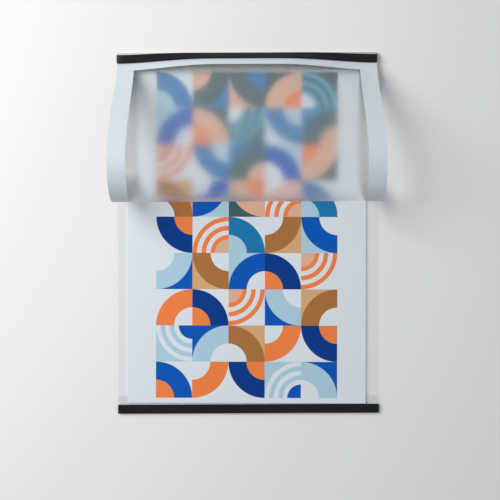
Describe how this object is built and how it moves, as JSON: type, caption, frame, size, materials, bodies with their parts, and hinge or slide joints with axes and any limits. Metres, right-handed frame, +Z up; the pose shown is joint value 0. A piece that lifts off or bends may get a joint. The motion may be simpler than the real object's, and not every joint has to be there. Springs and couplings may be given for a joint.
{
  "type": "self-adhesive display frame",
  "caption": "Flat wall display frame for one A4 sheet: clear back sheet bonded by adhesive bands, with a magnetic-edged flexible front flap rolled up in a loop.",
  "frame": {"origin": "centre of the rear face of the upper adhesive band, on the wall", "axes": "-Y faces the viewer, away from the wall; +X to the viewer's right; +Z up"},
  "size_m": [0.23, 0.0655, 0.318],
  "materials": {
    "clear_film": "clear, smooth",
    "clear_adhesive": "clear, slightly cloudy",
    "magnetic_strip": "black flexible magnet, satin",
    "weld": "melted bead, satin",
    "paper": "printed, matt",
    "frosted_film": "frosted, low glare",
    "border": "silver-grey on the front, pale cool white on the reverse, satin"
  },
  "bodies": {
    "wall_base": {"back_sheet": "clear_film", "adhesive_band_top": "clear_adhesive", "adhesive_band_bottom": "clear_adhesive", "magnetic_strip_top": "magnetic_strip", "magnetic_strip_bottom": "magnetic_strip", "hinge_weld": "weld"},
    "paper": {"paper_sheet": "paper"},
    "flap_rear": {"flap_border_top": "border", "flap_border_left_rear": "border", "flap_window_rear": "frosted_film", "flap_border_right_rear": "border"},
    "bend_1": {"flap_border_left_bend_1": "border", "flap_window_bend_1": "frosted_film", "flap_border_right_bend_1": "border"},
    "bend_2": {"flap_border_left_bend_2": "border", "flap_window_bend_2": "frosted_film", "flap_border_right_bend_2": "border"},
    "bend_3": {"flap_border_left_bend_3": "border", "flap_window_bend_3": "frosted_film", "flap_border_right_bend_3": "border"},
    "bend_4": {"flap_border_left_bend_4": "border", "flap_window_bend_4": "frosted_film", "flap_border_right_bend_4": "border"},
    "bend_5": {"flap_border_left_bend_5": "border", "flap_window_bend_5": "frosted_film", "flap_border_right_bend_5": "border"},
    "bend_6": {"flap_border_left_bend_6": "border", "flap_window_bend_6": "frosted_film", "flap_border_right_bend_6": "border"},
    "bend_7": {"flap_border_left_bend_7": "border", "flap_window_bend_7": "frosted_film", "flap_border_right_bend_7": "border"},
    "bend_8": {"flap_border_left_bend_8": "border", "flap_window_bend_8": "frosted_film", "flap_border_right_bend_8": "border"},
    "bend_9": {"flap_border_left_bend_9": "border", "flap_window_bend_9": "frosted_film", "flap_border_right_bend_9": "border"},
    "bend_10": {"flap_border_left_bend_10": "border", "flap_window_bend_10": "frosted_film", "flap_border_right_bend_10": "border"},
    "flap_front": {"flap_border_left_front": "border", "flap_window_front": "frosted_film", "flap_border_right_front": "border", "flap_border_bottom": "border", "magnetic_strip_flap": "magnetic_strip"}
  },
  "joints": [
    {"name": "flap_hinge", "type": "hinge", "parent": "wall_base", "child": "flap_rear", "pos_m": [0, -0.00258, 0.0075], "axis": [-1, 0, 0], "range_deg": [0, 85]},
    {"name": "curl_1", "type": "hinge", "parent": "flap_rear", "child": "bend_1", "pos_m": [0, -0.00258, -0.0905], "axis": [1, 0, 0], "range_deg": [0, 10.54]},
    {"name": "curl_2", "type": "hinge", "parent": "bend_1", "child": "bend_2", "pos_m": [0, -0.00516, -0.10434], "axis": [1, 0, 0], "range_deg": [0, 21.5]},
    {"name": "curl_3", "type": "hinge", "parent": "bend_2", "child": "bend_3", "pos_m": [0, -0.01197, -0.1152], "axis": [1, 0, 0], "range_deg": [0, 21.5]},
    {"name": "curl_4", "type": "hinge", "parent": "bend_3", "child": "bend_4", "pos_m": [0, -0.02159, -0.12227], "axis": [1, 0, 0], "range_deg": [0, 21.5]},
    {"name": "curl_5", "type": "hinge", "parent": "bend_4", "child": "bend_5", "pos_m": [0, -0.03263, -0.12519], "axis": [1, 0, 0], "range_deg": [0, 21.5]},
    {"name": "curl_6", "type": "hinge", "parent": "bend_5", "child": "bend_6", "pos_m": [0, -0.04374, -0.12387], "axis": [1, 0, 0], "range_deg": [0, 21.5]},
    {"name": "curl_7", "type": "hinge", "parent": "bend_6", "child": "bend_7", "pos_m": [0, -0.05363, -0.11854], "axis": [1, 0, 0], "range_deg": [0, 21.5]},
    {"name": "curl_8", "type": "hinge", "parent": "bend_7", "child": "bend_8", "pos_m": [0, -0.06108, -0.10971], "axis": [1, 0, 0], "range_deg": [0, 21.5]},
    {"name": "curl_9", "type": "hinge", "parent": "bend_8", "child": "bend_9", "pos_m": [0, -0.06496, -0.09815], "axis": [1, 0, 0], "range_deg": [0, 21.5]},
    {"name": "curl_10", "type": "hinge", "parent": "bend_9", "child": "bend_10", "pos_m": [0, -0.06428, -0.08498], "axis": [1, 0, 0], "range_deg": [0, 21.5]},
    {"name": "curl_11", "type": "hinge", "parent": "bend_10", "child": "flap_front", "pos_m": [0, -0.05824, -0.07172], "axis": [1, 0, 0], "range_deg": [0, 10.53]},
    {"name": "paper_slide", "type": "slide", "parent": "wall_base", "child": "paper", "axis": [1, 0, 0], "range_m": [0, 0.23]}
  ]
}
